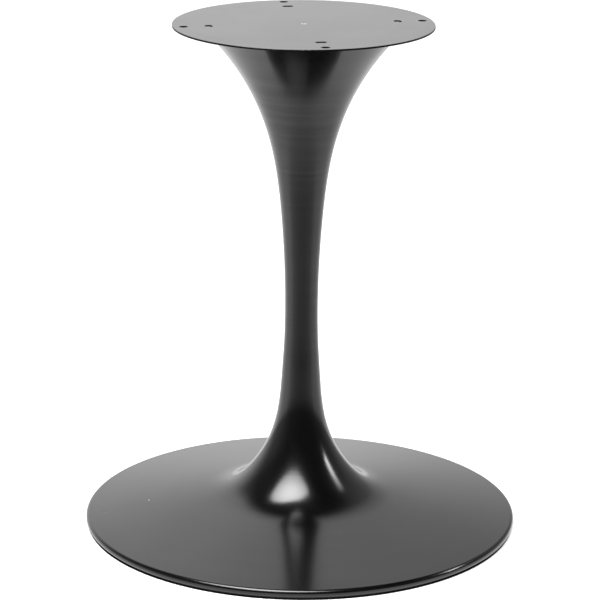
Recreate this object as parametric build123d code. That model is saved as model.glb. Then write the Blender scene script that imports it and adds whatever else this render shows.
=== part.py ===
from build123d import *
import os
from math import cos, radians, sin, sqrt, tan

# A round pedestal table base, 72 cm high. A spun steel trumpet stands on a spun steel foot
# shell, and a long bolt down the middle clamps both between a disc in the trumpet's mouth
# and a hub on the heavy plate inside the foot. Millimetres, +Z up. The origin is the
# middle of the foot, on the floor.

# Overall sizes
height = 720.0
foot_r = 307.0
top_r = 180.0

# Sheet and plate thicknesses
shell_wall = 1.5
top_thick = 2.5
base_thick = 4.0

# Clearance between a piece and what it sits in
fit_gap = 0.2

# Foot: a shallow cone that ends in a rounded rim, hemmed in under the base plate
rim_bottom = 3.0
rim_top = 12.9
rim_round = 5.5
hem_round = 4.9
hem_width = 14.0
dish_slope = 9.5
flare_start_r = 140.0
flare_low = (90.0, 60.0)
flare_mid = (53.4, 105.0)
flare_high = (35.8, 150.0)

# Seam between foot shell and trumpet; lean is the sheet's angle to the vertical there
seam_z = 244.0
seam_r = 25.6
seam_lean = -4.3

# Trumpet: outer radius at the waist, given above the seam, and at stations below the mouth
waist_r = 23.3
waist_above_seam = 66.0
trumpet_stations = ((29.2, 267.5), (46.8, 157.5), (80.1, 77.5))
mouth_r = 140.0
mouth_lean = 46.0

# Stations along an outer curve where the inner face of the sheet is set off from it
offset_steps = 14

# Top plate: holes for the table top's screws, and weld slots over the disc below
pattern_turn = 10.0
top_edge_round = 0.5
screw_hole_r = 6.0
screw_hole_inset = 14.5
pattern_count = 4
weld_inset = 1.6
weld_long = 16.0
weld_wide = 10.5
weld_depth = 1.0
crater_r = 1.3
crater_depth = 2.0
crater_inset = 2.0

# Disc in the trumpet's mouth, with a hub that takes the bolt's head
disc_thick = 5.0
disc_hub_r = 18.0
disc_hub_deep = 16.0

# Tie bolt: a head under the top plate, a key end up through the plate's middle hole, and a
# shank down into the foot
bolt_r = 5.0
head_r = 8.0
head_high = 10.0
head_below_plate = 0.5
head_gap = 0.5
shank_gap = 0.5
key_end_r = 3.8
key_end_gap = 0.2
key_end_below_top = 0.1
socket_across = 2.5
socket_deep = 3.0
bolt_tip_above_plate = 3.0

# Sleeve that joins foot shell and trumpet inside the seam
sleeve_gap = 0.3
sleeve_long = 44.0
sleeve_wall = 3.0

# Hub welded on the base plate, threaded for the bolt
hub_r = 30.0
hub_high = 32.0
hub_chamfer = 2.0
thread_gap = 0.1
plate_edge_gap = 3.6

# Ring that the base stands on, under the hem
ring_width = 8.0
ring_setback = 6.0
ring_round = 0.6

# Heights and radii that follow from the sizes above
top_under = height - top_thick
plate_bottom = rim_bottom + shell_wall
plate_top = plate_bottom + base_thick
bore_r = bolt_r + shank_gap
pocket_r = head_r + head_gap
head_top = top_under - head_below_plate
head_seat = head_top - head_high
key_top = height - key_end_below_top


def at(r, z):
    return Vector(r, 0, z)


def turned(*edges):
    """Solid of revolution about Z from a closed outline in the XZ plane."""
    return revolve(make_face(Wire(list(edges))), Axis.Z, 360)


def turned_outline(*points):
    corners = [at(r, z) for r, z in points]
    return turned(*Polyline(*corners, close=True).edges())


def round_plate(radius, thick, under):
    """Flat round plate whose lower face is at the given height."""
    return Pos(0, 0, under + thick / 2) * Cylinder(radius, thick)


def smooth(points, start, end):
    return Spline(*[at(r, z) for r, z in points], tangents=(start, end))


def inner_of(curve, inner_start, inner_end):
    """Inner face of a sheet whose outer face is the curve, between two given ends."""
    start, end = curve.tangent_at(0), curve.tangent_at(1)
    points = [inner_start]
    for step in range(1, offset_steps):
        u = step / offset_steps
        along = curve.tangent_at(u)
        points.append(curve.position_at(u) + Vector(along.Z, 0, -along.X) * inward(along))
    points.append(inner_end)
    return Spline(*points, tangents=(start, end))


def inward(along):
    """Wall thickness, signed so that the offset goes towards the axis."""
    return -shell_wall if along.Z > 0 else shell_wall


def lean_direction(angle):
    return Vector(sin(radians(angle)), 0, cos(radians(angle)))


def mouth_inner_r():
    return mouth_r - shell_wall / cos(radians(mouth_lean))


def seam_inner_r():
    return seam_r - shell_wall / cos(radians(seam_lean))


def trumpet():
    stations = [(r, top_under - below) for r, below in trumpet_stations]
    waist = (waist_r, seam_z + waist_above_seam)
    points = [(seam_r, seam_z), waist, *stations, (mouth_r, top_under)]
    outer = smooth(points, lean_direction(seam_lean), lean_direction(mouth_lean))
    inner = inner_of(outer, at(seam_inner_r(), seam_z), at(mouth_inner_r(), top_under))
    mouth = Line(at(mouth_r, top_under), at(mouth_inner_r(), top_under))
    seam = Line(at(seam_r, seam_z), at(seam_inner_r(), seam_z))
    return turned(outer, mouth, inner, seam)


def dish_height(r):
    """Height of the foot's outer face on its straight cone."""
    return rim_top + (foot_r - r) * tan(radians(dish_slope))


def foot_shell():
    slope = radians(dish_slope)
    flare_end = at(flare_start_r, dish_height(flare_start_r))
    inner_flare_end = flare_end - Vector(sin(slope), 0, cos(slope)) * shell_wall
    points = [(seam_r, seam_z), flare_high, flare_mid, flare_low, (flare_end.X, flare_end.Z)]
    down = lean_direction(seam_lean) * -1
    outer = smooth(points, down, Vector(cos(slope), 0, -sin(slope)))
    inner = inner_of(outer, at(seam_inner_r(), seam_z), inner_flare_end)
    inner_rim_top = rim_top + shell_wall * (tan(slope) - 1 / cos(slope))
    hem_r = foot_r - hem_width
    outer_rim = FilletPolyline(flare_end, at(foot_r, rim_top), at(foot_r, rim_bottom),
                               at(hem_r, rim_bottom), radius=[rim_round, hem_round])
    inner_r = foot_r - shell_wall
    inner_rim = FilletPolyline(inner_flare_end, at(inner_r, inner_rim_top),
                               at(inner_r, plate_bottom), at(hem_r, plate_bottom),
                               radius=[rim_round - shell_wall, hem_round - shell_wall])
    hem_end = Line(at(hem_r, rim_bottom), at(hem_r, plate_bottom))
    seam = Line(at(seam_r, seam_z), at(seam_inner_r(), seam_z))
    return turned(outer, *outer_rim.edges(), hem_end, *inner_rim.edges(), inner, seam)


def weld_recess():
    """Ground weld in its slot, slightly sunk, with a small crater at one end."""
    slot = extrude(SlotOverall(weld_long, weld_wide), weld_depth)
    return Pos(0, 0, height - weld_depth) * slot


def top_plate():
    plate = round_plate(top_r, top_thick, top_under)
    plate = fillet(plate.edges().filter_by(GeomType.CIRCLE).sort_by(Axis.Z)[-1], top_edge_round)
    screw_circle_r = top_r - screw_hole_inset
    weld_circle_r = mouth_inner_r() - weld_inset - weld_wide / 2
    hole = Pos(screw_circle_r, 0, height) * Cylinder(screw_hole_r, 2 * top_thick + 1)
    recess = Pos(weld_circle_r, 0, 0) * Rot(0, 0, 90) * weld_recess()
    for index in range(pattern_count):
        turn = Rot(0, 0, pattern_turn + index * 360 / pattern_count)
        weld_centre = (turn * Pos(weld_circle_r, 0, height)).position
        crater_centre = weld_centre + Vector(weld_wide / 2 - crater_inset, 0, 0)
        crater = Pos(crater_centre) * Cylinder(crater_r, 2 * crater_depth)
        plate = plate - turn * hole - turn * recess - crater
    return plate - Pos(0, 0, height) * Cylinder(key_end_r + key_end_gap, 2 * top_thick + 1)


def mouth_disc():
    edge_r = mouth_inner_r() - fit_gap / cos(radians(mouth_lean))
    low_r = edge_r - disc_thick * tan(radians(mouth_lean))
    disc_under = top_under - disc_thick
    hub_under = top_under - disc_hub_deep
    return turned_outline(
        (bore_r, hub_under), (disc_hub_r, hub_under), (disc_hub_r, disc_under), (low_r, disc_under),
        (edge_r, top_under), (pocket_r, top_under), (pocket_r, head_seat), (bore_r, head_seat))


def tie_bolt():
    tip = plate_top + bolt_tip_above_plate
    bolt = turned_outline((0, tip), (bolt_r, tip), (bolt_r, head_seat), (head_r, head_seat),
                          (head_r, head_top), (key_end_r, head_top), (key_end_r, key_top),
                          (0, key_top))
    socket_r = socket_across / sqrt(3)
    socket = extrude(RegularPolygon(socket_r, 6), 2 * socket_deep)
    return bolt - Pos(0, 0, key_top - socket_deep) * socket


def seam_sleeve():
    """Turned sleeve whose outside is the cone that touches the sheet's inside at the seam."""
    half = sleeve_long / 2
    spread = half * tan(radians(-seam_lean))
    middle_r = seam_inner_r() - sleeve_gap
    low_r, high_r = middle_r + spread, middle_r - spread
    return turned_outline(
        (low_r - sleeve_wall, seam_z - half), (low_r, seam_z - half), (high_r, seam_z + half),
        (high_r - sleeve_wall, seam_z + half))


def base_plate():
    return round_plate(foot_r - shell_wall - plate_edge_gap, base_thick, plate_bottom)


def base_hub():
    inner_r = bolt_r + thread_gap
    hub_top = plate_top + hub_high
    return turned_outline(
        (inner_r, plate_top), (hub_r, plate_top), (hub_r, hub_top - hub_chamfer),
        (hub_r - hub_chamfer, hub_top), (inner_r, hub_top))


def floor_ring():
    outer_r = foot_r - ring_setback
    inner_r = outer_r - ring_width
    ring = turned_outline((inner_r, 0), (outer_r, 0), (outer_r, rim_bottom), (inner_r, rim_bottom))
    return fillet(ring.edges().group_by(Axis.Z)[0], ring_round)


pieces = {
    "top_plate": top_plate,
    "mouth_disc": mouth_disc,
    "tie_bolt": tie_bolt,
    "trumpet": trumpet,
    "seam_sleeve": seam_sleeve,
    "foot_shell": foot_shell,
    "base_hub": base_hub,
    "base_plate": base_plate,
    "floor_ring": floor_ring,
}

os.makedirs("parts", exist_ok=True)
for name, make in pieces.items():
    export_step(make(), f"parts/{name}.step")
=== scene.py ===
import bpy
import numpy as np
from math import ceil, cos, degrees, pi, radians, sin
from mathutils import Matrix, Vector


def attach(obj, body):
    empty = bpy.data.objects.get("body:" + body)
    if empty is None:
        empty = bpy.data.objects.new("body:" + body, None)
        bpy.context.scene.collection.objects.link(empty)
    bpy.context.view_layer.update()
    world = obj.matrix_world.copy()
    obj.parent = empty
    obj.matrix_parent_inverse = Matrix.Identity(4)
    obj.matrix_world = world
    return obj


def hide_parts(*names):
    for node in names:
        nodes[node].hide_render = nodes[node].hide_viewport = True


# Round black pedestal table base in a white studio. Metres, in the frame's own axes.
# The camera stands in front, on the -Y side.

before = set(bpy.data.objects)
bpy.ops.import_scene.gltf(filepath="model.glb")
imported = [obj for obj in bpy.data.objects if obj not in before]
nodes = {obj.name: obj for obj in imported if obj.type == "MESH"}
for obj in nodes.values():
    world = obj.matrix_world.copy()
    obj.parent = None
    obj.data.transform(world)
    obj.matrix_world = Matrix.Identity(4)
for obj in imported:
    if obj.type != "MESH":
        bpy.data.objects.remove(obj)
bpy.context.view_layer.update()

# Camera, as worked out from the outlines of the foot, column and top plate
SENSOR = 36.0
FRAME_PIXELS = 600
FOCAL_PIXELS = 2663.5
CAMERA_X = -0.0021
CAMERA_AWAY = 3.5893
CAMERA_HIGH = 1.4090
CAMERA_DOWN = 16.79
CAMERA_ROLL = 0.465
CAMERA_SIGHT = 60.0

# Sky: SKY_ROUND is its level from the front to behind the object, in a direction that leans
# left. The UP rows are shares of it by elevation in degrees. From UP_ASIDE to UP_BEHIND they
# pass over SKY_BEHIND. UP_LEFT dims the far left as well, and fades out over SKY_LEFT.
SKY_FULL = 1.6
SKY_LEAN = 0.35
SKY_ROUND = ((-1.06, 0.035), (-0.45, 0.07), (0.05, 0.18), (0.35, 0.28), (0.7, 0.30), (0.85, 0.43),
             (0.93, 0.53), (1.0, 0.67), (1.06, 0.76))
SKY_BEHIND = (0.70, 0.95)
SKY_LEFT = (-0.85, -0.45)
UP_BEHIND = ((-90, 1.1), (0, 1.10), (20, 1.12), (27, 1.15), (33, 1.27), (41, 1.38), (45, 1.15),
             (50, 0.40), (56, 0.03), (90, 0.01))
UP_ASIDE = ((-90, 1.0), (0, 1.0), (20, 0.90), (27, 0.85), (38, 0.85), (48, 0.65), (54, 0.20),
            (60, 0.05), (90, 0.01))
UP_LEFT = ((-90, 1.0), (14, 1.0), (22, 0.82), (28, 0.50), (35, 0.37), (48, 0.35), (90, 0.30))

# Floor: a matt round sheet
FLOOR_R = 14.0
FLOOR_SIDES = 96
FLOOR_TONE = 0.82

# Floor as reflections see it, a glow of painted light: levels from front to back and from left to
# right, the painted shadow as a dark edge under the foot, and where it dims far out. The last two
# are distances from the middle.
FLOOR_PAINTED_LIGHT = ((-5.0, 0.04), (-4.0, 0.04), (-2.2, 0.11), (-1.4, 0.22), (-0.6, 0.60), (-0.33, 1.0),
               (0.5, 0.90), (3.0, 0.85))
GLOSS_ACROSS = (-1.2, 1.2)
GLOSS_SIDES = (1.792, 1.28)
GLOSS_PAINTED_SHADOW = (0.300, 0.308)
GLOSS_END = (2.05, 2.35)
GLOSS_BEYOND = 0.15

# Floor as the camera sees it: the levels added near and far, and the painted contact shadow, a dark
# line at the foot
SEEN_SPAN = (0.6, 2.2)
SEEN_LEVELS = (0.62, 1.0)
SEEN_PAINTED_SHADOW = (0.3036, 0.3064)

# Oval softbox over the front left, brightest at TOP_BRIGHT. A barn door shades its back right
# side, along TOP_DOOR from one end of TOP_SHADE to the other.
TOP_AT = (-0.52, -0.82, 2.25)
TOP_SIZE = (2.0, 2.2)
TOP_POWER = 210.0
TOP_BRIGHT = (-0.50, -0.75, 2.25)
TOP_FADE_SPAN = (0.15, 1.35)
TOP_LEVELS = (1.0, 0.33)
TOP_DOOR = (0.62, 0.78, 0)
TOP_SHADE = (-0.24, -0.48)

# Leaning strip light on the right, brightest at its low end
STRIP_LOW = (1.82, -0.21, 0.91)
STRIP_HIGH = (1.42, 0.43, 1.44)
STRIP_WIDE = 0.26
STRIP_POWER = 15.5
STRIP_LEVELS = (1.0, 0.12)

# Finely faceted copies of the turned shells
ON_PLANE = 1e-6
PLACE_DIGITS = 7
FACETS = 400
STEP_TURN = 4.0
STEP_LONG = 0.02

# Black lacquer: roughness, and how far it stretches reflections across the spun lines
TRUMPET_GLOSS = (0.18, 0.80)
FOOT_GLOSS = (0.18, 0.25)
PLATE_GLOSS = (0.15, 0.0)
LACQUER_IOR = 1.5
QUARTER_TURN = 0.25
ROUGH_SWING = 0.02
PEEL_SCALE = 900.0
PEEL_DEPTH = 0.000004

# Spun lines: fine and coarse spacing and depth, and how far the coarse ones swing the gloss.
# STREAK sets how much longer than their spacing they are.
TRUMPET_RINGS = ((0.0016, 0.000008), (0.0040, 0.000016), 0.17)
FOOT_RINGS = ((0.0024, 0.000006), (0.030, 0.00008), 0.02)
PLATE_RINGS = ((0.0016, 0.000002), (0.0060, 0.000003), 0.06)
STREAK = 0.02

# Broad patches: their scale, how far they swing the gloss, and the dust in them
SHELL_PATCHES = (9.0, 0.07, 0.0)
PLATE_PATCHES = (16.0, 0.18, 0.0065)
DUST_SPAN = (0.25, 0.75)

# Wear on the foot, in places traced from the photo: paint specks (place, radius) and a dent
SPECKS = (((-0.2163, -0.0123, 0.0280), 0.0011), ((0.0714, -0.0951, 0.0444), 0.0009))
DENT = (-0.2783, -0.0337, 0.0174)
DENT_R = 0.008
DENT_DEEP = 0.00012

# Other finishes: metallic, roughness, scale and depth of the grain
PRIMER_FINISH = (0.0, 0.55, 420.0, 0.00002)
STEEL_FINISH = (1.0, 0.35, 650.0, 0.000008)
ZINC_FINISH = (1.0, 0.22, 800.0, 0.000005)
RUBBER_FINISH = (0.0, 0.6, 900.0, 0.00002)
GRAIN_DETAIL = 4.0
GRAIN_TONES = (0.85, 1.15)
GRAIN_ROUGH = 0.06

# Colours, linear
WHITE = (1, 1, 1, 1)
LACQUER = (0.0019, 0.0019, 0.0020, 1)
SPECK_WHITE = (0.45, 0.45, 0.44, 1)
PRIMER = (0.020, 0.020, 0.021, 1)
STEEL = (0.42, 0.42, 0.43, 1)
ZINC = (0.66, 0.67, 0.69, 1)
RUBBER = (0.012, 0.012, 0.012, 1)


class Graph:
    """Shader nodes of a material, lamp or world. A source is a socket or a plain value."""

    def __init__(self, tree):
        tree.nodes.clear()
        self.nodes = tree.nodes
        self.links = tree.links

    def add(self, kind, sources=None, **settings):
        node = self.nodes.new(kind)
        for key, value in settings.items():
            setattr(node, key, value)
        for key, source in (sources or {}).items():
            if isinstance(source, bpy.types.NodeSocket):
                self.links.new(source, node.inputs[key])
            else:
                node.inputs[key].default_value = source
        return node

    def vector(self, operation, *sources):
        node = self.add("ShaderNodeVectorMath", dict(enumerate(sources)), operation=operation)
        measured = operation in ("LENGTH", "DISTANCE", "DOT_PRODUCT")
        return node.outputs["Value" if measured else "Vector"]

    def maths(self, operation, *sources):
        return self.add("ShaderNodeMath", dict(enumerate(sources)), operation=operation).outputs[0]

    def axes(self, source):
        return self.add("ShaderNodeSeparateXYZ", {0: source}).outputs

    def product(self, first, *others):
        found = first
        for source in others:
            found = self.maths("MULTIPLY", found, source)
        return found

    def mix(self, kind, share, low, high):
        """Low where the share is 0, high where it is 1."""
        mixed = self.add("ShaderNodeMix", {"Factor": share, "A": low, "B": high}, data_type=kind)
        return mixed.outputs["Result"]

    def spread(self, source, span=(0, 1), levels=(0, 1), steps="LINEAR"):
        """The source's span spread over the levels, and held at them outside it."""
        keys = ("From Min", "From Max", "To Min", "To Max")
        sources = {"Value": source, **dict(zip(keys, (*span, *levels)))}
        return self.add("ShaderNodeMapRange", sources, interpolation_type=steps).outputs[0]

    def rise(self, source, span, levels=(0, 1)):
        """As spread, but smooth between the ends of the span."""
        return self.spread(source, span, levels, "SMOOTHSTEP")

    def curve(self, source, points):
        """Level that eases between points along a measure."""
        first, last = points[0][0], points[-1][0]
        ramp = self.add("ShaderNodeValToRGB", {"Fac": self.spread(source, (first, last))})
        ramp.color_ramp.interpolation = "EASE"
        stops = ramp.color_ramp.elements
        for index, (place, level) in enumerate(points):
            share = (place - first) / (last - first)
            stop = stops[index] if index < 2 else stops.new(share)
            stop.position = share
            stop.color = (level, level, level, 1)
        return ramp.outputs["Color"]

    def noise(self, place, scale, detail=2.0):
        sources = {"Vector": place, "Scale": scale, "Detail": detail}
        return self.add("ShaderNodeTexNoise", sources).outputs["Fac"]

    def bump(self, height, depth, under=None):
        """Relief with the height's pattern, over the relief under it."""
        sources = {"Height": height, "Distance": depth}
        if under:
            sources["Normal"] = under
        return self.add("ShaderNodeBump", sources).outputs[0]


def material(name):
    made = bpy.data.materials.new(name)
    made.use_nodes = True
    return made, Graph(made.node_tree)


def about(middle, swing):
    return middle - swing, middle + swing


def spun_lines(graph, place, fine, coarse):
    """Relief of the lines that run round the sheet, and the pattern of the coarse ones."""
    radius = graph.vector("LENGTH", graph.vector("MULTIPLY", place, (1, 1, 0)))
    along = graph.maths("SUBTRACT", graph.axes(place)["Z"], radius)
    drawn = graph.vector("MULTIPLY", place, (STREAK, STREAK, 0))
    way = graph.vector("ADD", drawn, graph.add("ShaderNodeCombineXYZ", {"Z": along}).outputs[0])
    relief = None
    for pitch, depth in (fine, coarse):
        pattern = graph.noise(way, 1.0 / pitch)
        relief = graph.bump(pattern, depth, relief)
    return relief, pattern


def specks(graph, place):
    """Lacquer with its specks of pale paint."""
    tone = LACQUER
    for point, speck_r in SPECKS:
        inside = graph.maths("LESS_THAN", graph.vector("DISTANCE", place, point), speck_r)
        tone = graph.mix("RGBA", inside, tone, SPECK_WHITE)
    return tone


def dent(graph, place, relief):
    depth = graph.rise(graph.vector("DISTANCE", place, DENT), (0, DENT_R))
    return graph.bump(depth, DENT_DEEP, relief)


def lacquer(name, gloss, patches, rings, worn=False):
    """Black lacquer over spun sheet: fine lines run round it, and smear reflections across them."""
    rough, stretch = gloss
    patch_scale, patch_swing, dust = patches
    fine, coarse, line_swing = rings
    made, graph = material(name)
    place = graph.add("ShaderNodeTexCoord").outputs["Object"]
    relief, lines = spun_lines(graph, place, fine, coarse)
    relief = graph.bump(graph.noise(place, PEEL_SCALE), PEEL_DEPTH, relief)
    cloud = graph.noise(place, patch_scale)
    level = graph.maths("ADD", graph.spread(lines, levels=about(0, line_swing)),
                        graph.spread(cloud, levels=about(0.5, patch_swing)))
    tone = LACQUER
    if dust:
        tone = graph.spread(cloud, DUST_SPAN, (LACQUER[0], dust))
    if worn:
        tone = specks(graph, place)
        relief = dent(graph, place, relief)
    tangent = graph.add("ShaderNodeTangent", direction_type="RADIAL", axis="Z").outputs[0]
    shader = graph.add("ShaderNodeBsdfPrincipled", {
        "Base Color": tone, "IOR": LACQUER_IOR, "Specular IOR Level": level,
        "Roughness": graph.spread(cloud, levels=about(rough, ROUGH_SWING)),
        "Anisotropic": stretch, "Anisotropic Rotation": QUARTER_TURN, "Tangent": tangent,
        "Normal": relief})
    graph.add("ShaderNodeOutputMaterial", {"Surface": shader.outputs[0]})
    return made


def grained(name, colour, finish):
    """Metal or rubber with a fine grain in its tone, roughness and relief."""
    metallic, rough, scale, depth = finish
    made, graph = material(name)
    grain = graph.noise(graph.add("ShaderNodeTexCoord").outputs["Object"], scale, GRAIN_DETAIL)
    dark, light = ([min(1, level * share) for level in colour[:3]] + [1] for share in GRAIN_TONES)
    shader = graph.add("ShaderNodeBsdfPrincipled", {
        "Base Color": graph.mix("RGBA", grain, dark, light), "Metallic": metallic,
        "Roughness": graph.spread(grain, levels=about(rough, GRAIN_ROUGH)),
        "Normal": graph.bump(grain, depth)})
    graph.add("ShaderNodeOutputMaterial", {"Surface": shader.outputs[0]})
    return made


def spot(point):
    return (round(point.x, PLACE_DIGITS), round(point.z, PLACE_DIGITS))


def meridian(mesh):
    """Outline of a turned node in the XZ plane, in order. Each stretch is its two ends
    (radius, height) and the surface normals there, which come from the mesh."""
    on_plane = {v.index for v in mesh.vertices if abs(v.co.y) < ON_PLANE and v.co.x > 0}
    normals = mesh.corner_normals
    stretch = {}
    for face in mesh.polygons:
        if face.center.y < 0:
            continue
        loops = list(face.loop_indices)
        for here, there in zip(loops, loops[1:] + loops[:1]):
            ends = [mesh.loops[i].vertex_index for i in (here, there)]
            if on_plane.issuperset(ends):
                start, end = (spot(mesh.vertices[i].co) for i in ends)
                sides = [(normals[i].vector.x, normals[i].vector.z) for i in (here, there)]
                stretch[start] = (end, *sides)
    close_flats(stretch)
    start = point = next(iter(stretch))
    outline = []
    while not outline or point != start:
        end, *sides = stretch[point]
        outline.append((point, end, *sides))
        point = end
    return outline


def close_flats(stretch):
    """A flat face has no edge in the plane, so a straight stretch joins its two rims."""
    ends = {way[0] for way in stretch.values()}
    for end in ends - set(stretch):
        start = next(s for s in set(stretch) - ends if abs(s[1] - end[1]) < ON_PLANE)
        side = (0.0, 1.0 if start[0] < end[0] else -1.0)
        stretch[end] = (start, side, side)


def curved(start, end, start_side, end_side):
    """Points and normals along a stretch, bent so that it meets its end normals."""
    start, end = np.array(start), np.array(end)
    chord = end - start
    length = np.linalg.norm(chord)
    ways, sides = [], [np.array(start_side), np.array(end_side)]
    for side in sides:
        way = np.array((side[1], -side[0]))
        ways.append(way / np.linalg.norm(way) * length * np.sign(way @ chord))
    turn = degrees(np.arccos(np.clip(sides[0] @ sides[1], -1, 1)))
    steps = max(1, ceil(turn / STEP_TURN), ceil(length / STEP_LONG))
    found = []
    for u in np.linspace(0, 1, steps + 1):
        point = ((2 * u**3 - 3 * u**2 + 1) * start + (u**3 - 2 * u**2 + u) * ways[0]
                 + (3 * u**2 - 2 * u**3) * end + (u**3 - u**2) * ways[1])
        side = (1 - u) * sides[0] + u * sides[1]
        found.append((*point, *(side / np.linalg.norm(side))))
    return found


def turned_mesh(name, strips):
    """Mesh that the strips make when they go round Z. Each strip is two ends, and an end is a
    radius, a height and the normal there."""
    angle = 2 * pi * np.arange(FACETS) / FACETS
    east, north = np.cos(angle), np.sin(angle)
    points = [(lower[0] * east, lower[0] * north, lower[1] + 0 * east) for lower, upper in strips]
    rows = len(strips)
    corner = np.arange(rows * FACETS).reshape(rows, FACETS)
    after = np.roll(corner, -1, axis=1)
    quads = np.stack([corner, np.roll(corner, -1, axis=0), np.roll(after, -1, axis=0), after], -1)
    normals = np.zeros((rows, FACETS, 4, 3))
    for index, (lower, upper) in enumerate(strips):
        for place, (end, shift) in enumerate(((lower, 0), (upper, 0), (upper, -1), (lower, -1))):
            normals[index, :, place, 0] = end[2] * np.roll(east, shift)
            normals[index, :, place, 1] = end[2] * np.roll(north, shift)
            normals[index, :, place, 2] = end[3]
    mesh = bpy.data.meshes.new(name)
    vertices = np.array(points).transpose(0, 2, 1).reshape(-1, 3)
    mesh.from_pydata(vertices.tolist(), [], quads.reshape(-1, 4).tolist())
    if mesh.polygons[0].normal @ Vector(normals[0, 0, 0]) < 0:
        mesh.flip_normals()
        normals = normals[:, :, [0, 3, 2, 1]]
    mesh.shade_smooth()
    mesh.normals_split_custom_set(normals.reshape(-1, 3).tolist())
    return mesh


def turned_copy(node, made):
    """Stands for a turned node with the same outline and far smaller facets."""
    strips = []
    for piece in meridian(nodes[node].data):
        row = curved(*piece)
        strips += list(zip(row[:-1], row[1:]))
    mesh = turned_mesh(node + "_shell", strips)
    mesh.materials.append(made)
    copy = bpy.data.objects.new(node + "_shell", mesh)
    bpy.context.scene.collection.objects.link(copy)
    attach(copy, "root")
    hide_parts(node)


def dress(node, made):
    mesh = nodes[node].data
    mesh.materials.clear()
    mesh.materials.append(made)


def dress_all():
    turned_copy("trumpet", lacquer("trumpet_lacquer", TRUMPET_GLOSS, SHELL_PATCHES, TRUMPET_RINGS))
    worn_foot = lacquer("foot_lacquer", FOOT_GLOSS, SHELL_PATCHES, FOOT_RINGS, worn=True)
    turned_copy("foot_shell", worn_foot)
    dress("top_plate", lacquer("plate_lacquer", PLATE_GLOSS, PLATE_PATCHES, PLATE_RINGS))
    dress("base_plate", grained("black_primer", PRIMER, PRIMER_FINISH))
    steel = grained("bare_steel", STEEL, STEEL_FINISH)
    for node in ("mouth_disc", "seam_sleeve", "base_hub"):
        dress(node, steel)
    dress("tie_bolt", grained("zinc_plate", ZINC, ZINC_FINISH))
    dress("floor_ring", grained("black_rubber", RUBBER, RUBBER_FINISH))


def lamp(name, shape, size, at, power, back, side, brightness):
    """Area light that looks away from its back, with its width along its side. Its brightness is
    worked out from the place on it."""
    data = bpy.data.lights.new(name, "AREA")
    data.shape = shape
    data.size, data.size_y = size
    data.energy = power
    data.use_nodes = True
    graph = Graph(data.node_tree)
    place = graph.add("ShaderNodeNewGeometry").outputs["Position"]
    glow = graph.add("ShaderNodeEmission", {"Strength": brightness(graph, place)})
    graph.add("ShaderNodeOutputLight", {"Surface": glow.outputs[0]})
    placed = bpy.data.objects.new(name, data)
    across = back.cross(side).normalized()
    placed.matrix_world = (Matrix.Translation(at)
                           @ Matrix((across.cross(back), across, back)).transposed().to_4x4())
    placed.visible_camera = False
    bpy.context.scene.collection.objects.link(placed)


def softbox():
    def brightness(graph, place):
        faded = graph.rise(graph.vector("DISTANCE", place, TOP_BRIGHT), TOP_FADE_SPAN, TOP_LEVELS)
        past_door = graph.vector("DOT_PRODUCT", place, TOP_DOOR)
        return graph.product(faded, graph.rise(past_door, TOP_SHADE))

    lamp("softbox", "ELLIPSE", TOP_SIZE, TOP_AT, TOP_POWER, Vector((0, 0, 1)), Vector((1, 0, 0)),
         brightness)


def strip():
    def brightness(graph, place):
        return graph.rise(graph.axes(place)["Z"], (STRIP_LOW[2], STRIP_HIGH[2]), STRIP_LEVELS)

    run = Vector(STRIP_HIGH) - Vector(STRIP_LOW)
    middle = (Vector(STRIP_HIGH) + Vector(STRIP_LOW)) / 2
    back = (middle - run * middle.dot(run) / run.length_squared).normalized()
    lamp("strip", "RECTANGLE", (run.length, STRIP_WIDE), middle, STRIP_POWER, back, run, brightness)


def by_height(points):
    return [(sin(radians(elevation)), level) for elevation, level in points]


def studio_sky():
    """White to the camera. For reflections and light it is bright behind the object, up to
    half way overhead, and darker to the sides, front and overhead."""
    world = bpy.data.worlds.new("studio")
    bpy.context.scene.world = world
    world.use_nodes = True
    graph = Graph(world.node_tree)
    place = graph.add("ShaderNodeTexCoord").outputs["Generated"]
    height = graph.axes(place)["Z"]
    compass = graph.vector("NORMALIZE", graph.vector("MULTIPLY", place, (1, 1, 0)))
    depth = graph.vector("DOT_PRODUCT", compass, (-SKY_LEAN, 1, 0))
    up = graph.mix("FLOAT", graph.rise(depth, SKY_BEHIND),
                   graph.curve(height, by_height(UP_ASIDE)),
                   graph.curve(height, by_height(UP_BEHIND)))
    flagged = graph.mix("FLOAT", graph.rise(graph.axes(compass)["X"], SKY_LEFT),
                        graph.curve(height, by_height(UP_LEFT)), 1.0)
    bright = graph.product(graph.curve(depth, SKY_ROUND), up, flagged, SKY_FULL)
    seen = graph.add("ShaderNodeLightPath").outputs["Is Camera Ray"]
    strength = graph.mix("FLOAT", seen, bright, 1.0)
    back = graph.add("ShaderNodeBackground", {"Color": WHITE, "Strength": strength})
    graph.add("ShaderNodeOutputWorld", {"Surface": back.outputs[0]})


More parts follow.
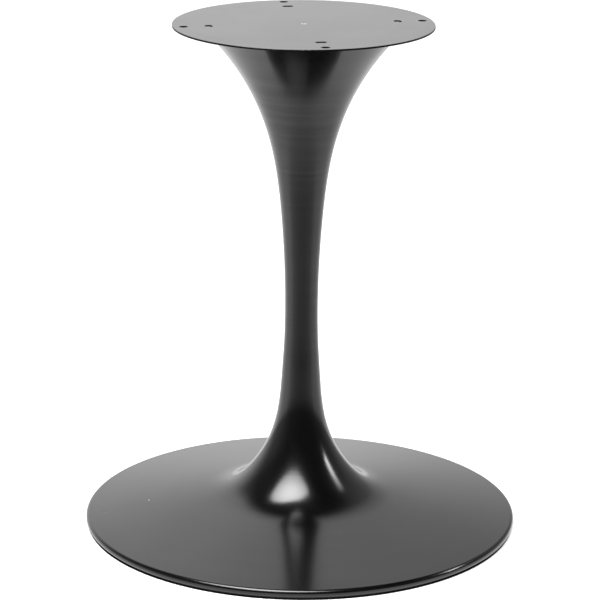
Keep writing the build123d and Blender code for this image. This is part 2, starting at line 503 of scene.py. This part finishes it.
def floor_material():
    """Matt floor, nearly white to the camera. Reflections see it by its own levels of painted light
    instead, and both see a painted contact shadow, a dark line round the foot."""
    made, graph = material("floor_white")
    place = graph.add("ShaderNodeTexCoord").outputs["Object"]
    rays = graph.add("ShaderNodeLightPath").outputs
    axes = graph.axes(place)
    away = graph.vector("LENGTH", place)
    # Painted light: reflections see the floor glow at levels set by place, with a painted shadow
    # round the foot
    painted_floor_glow = graph.product(
        graph.curve(axes["Y"], FLOOR_PAINTED_LIGHT), graph.spread(axes["X"], GLOSS_ACROSS, GLOSS_SIDES),
        graph.rise(away, GLOSS_PAINTED_SHADOW), graph.rise(away, GLOSS_END, (1.0, GLOSS_BEYOND)))
    # Painted contact shadow: the floor's glow and colour go dark round the foot
    clear_of_painted_shadow = graph.rise(away, SEEN_PAINTED_SHADOW)
    lifted = graph.rise(away, SEEN_SPAN, SEEN_LEVELS)
    seen = graph.product(rays["Is Camera Ray"], lifted, clear_of_painted_shadow)
    seen_glow = graph.add("ShaderNodeEmission", {"Strength": seen})
    matt = graph.add("ShaderNodeBsdfDiffuse", {"Color": graph.product(clear_of_painted_shadow, FLOOR_TONE)})
    lit = graph.add("ShaderNodeAddShader", {0: seen_glow.outputs[0], 1: matt.outputs[0]})
    painted_glow = graph.add("ShaderNodeEmission", {"Strength": painted_floor_glow})
    mixed = graph.add("ShaderNodeMixShader", {
        0: rays["Is Glossy Ray"], 1: lit.outputs[0], 2: painted_glow.outputs[0]})
    graph.add("ShaderNodeOutputMaterial", {"Surface": mixed.outputs[0]})
    return made


def floor():
    """Pale floor, which keeps the object's shadow, and has a painted contact shadow round the foot.
    """
    mesh = bpy.data.meshes.new("floor")
    turns = [2 * pi * step / FLOOR_SIDES for step in range(FLOOR_SIDES)]
    ring = [(FLOOR_R * cos(turn), FLOOR_R * sin(turn), 0.0) for turn in turns]
    mesh.from_pydata(ring, [], [list(range(FLOOR_SIDES))])
    mesh.materials.append(floor_material())
    plane = bpy.data.objects.new("floor", mesh)
    bpy.context.scene.collection.objects.link(plane)


def camera():
    data = bpy.data.cameras.new("camera")
    data.sensor_width = SENSOR
    data.lens = FOCAL_PIXELS / FRAME_PIXELS * SENSOR
    data.clip_end = CAMERA_SIGHT
    seen = bpy.data.objects.new("camera", data)
    place = Matrix.Translation((CAMERA_X, -CAMERA_AWAY, CAMERA_HIGH))
    tilt = Matrix.Rotation(radians(90 - CAMERA_DOWN), 4, "X")
    roll = Matrix.Rotation(radians(CAMERA_ROLL), 4, "Z")
    seen.matrix_world = place @ tilt @ roll
    bpy.context.scene.collection.objects.link(seen)
    bpy.context.scene.camera = seen


camera()
studio_sky()
floor()
softbox()
strip()
dress_all()

bpy.context.scene.view_settings.view_transform = "Standard"
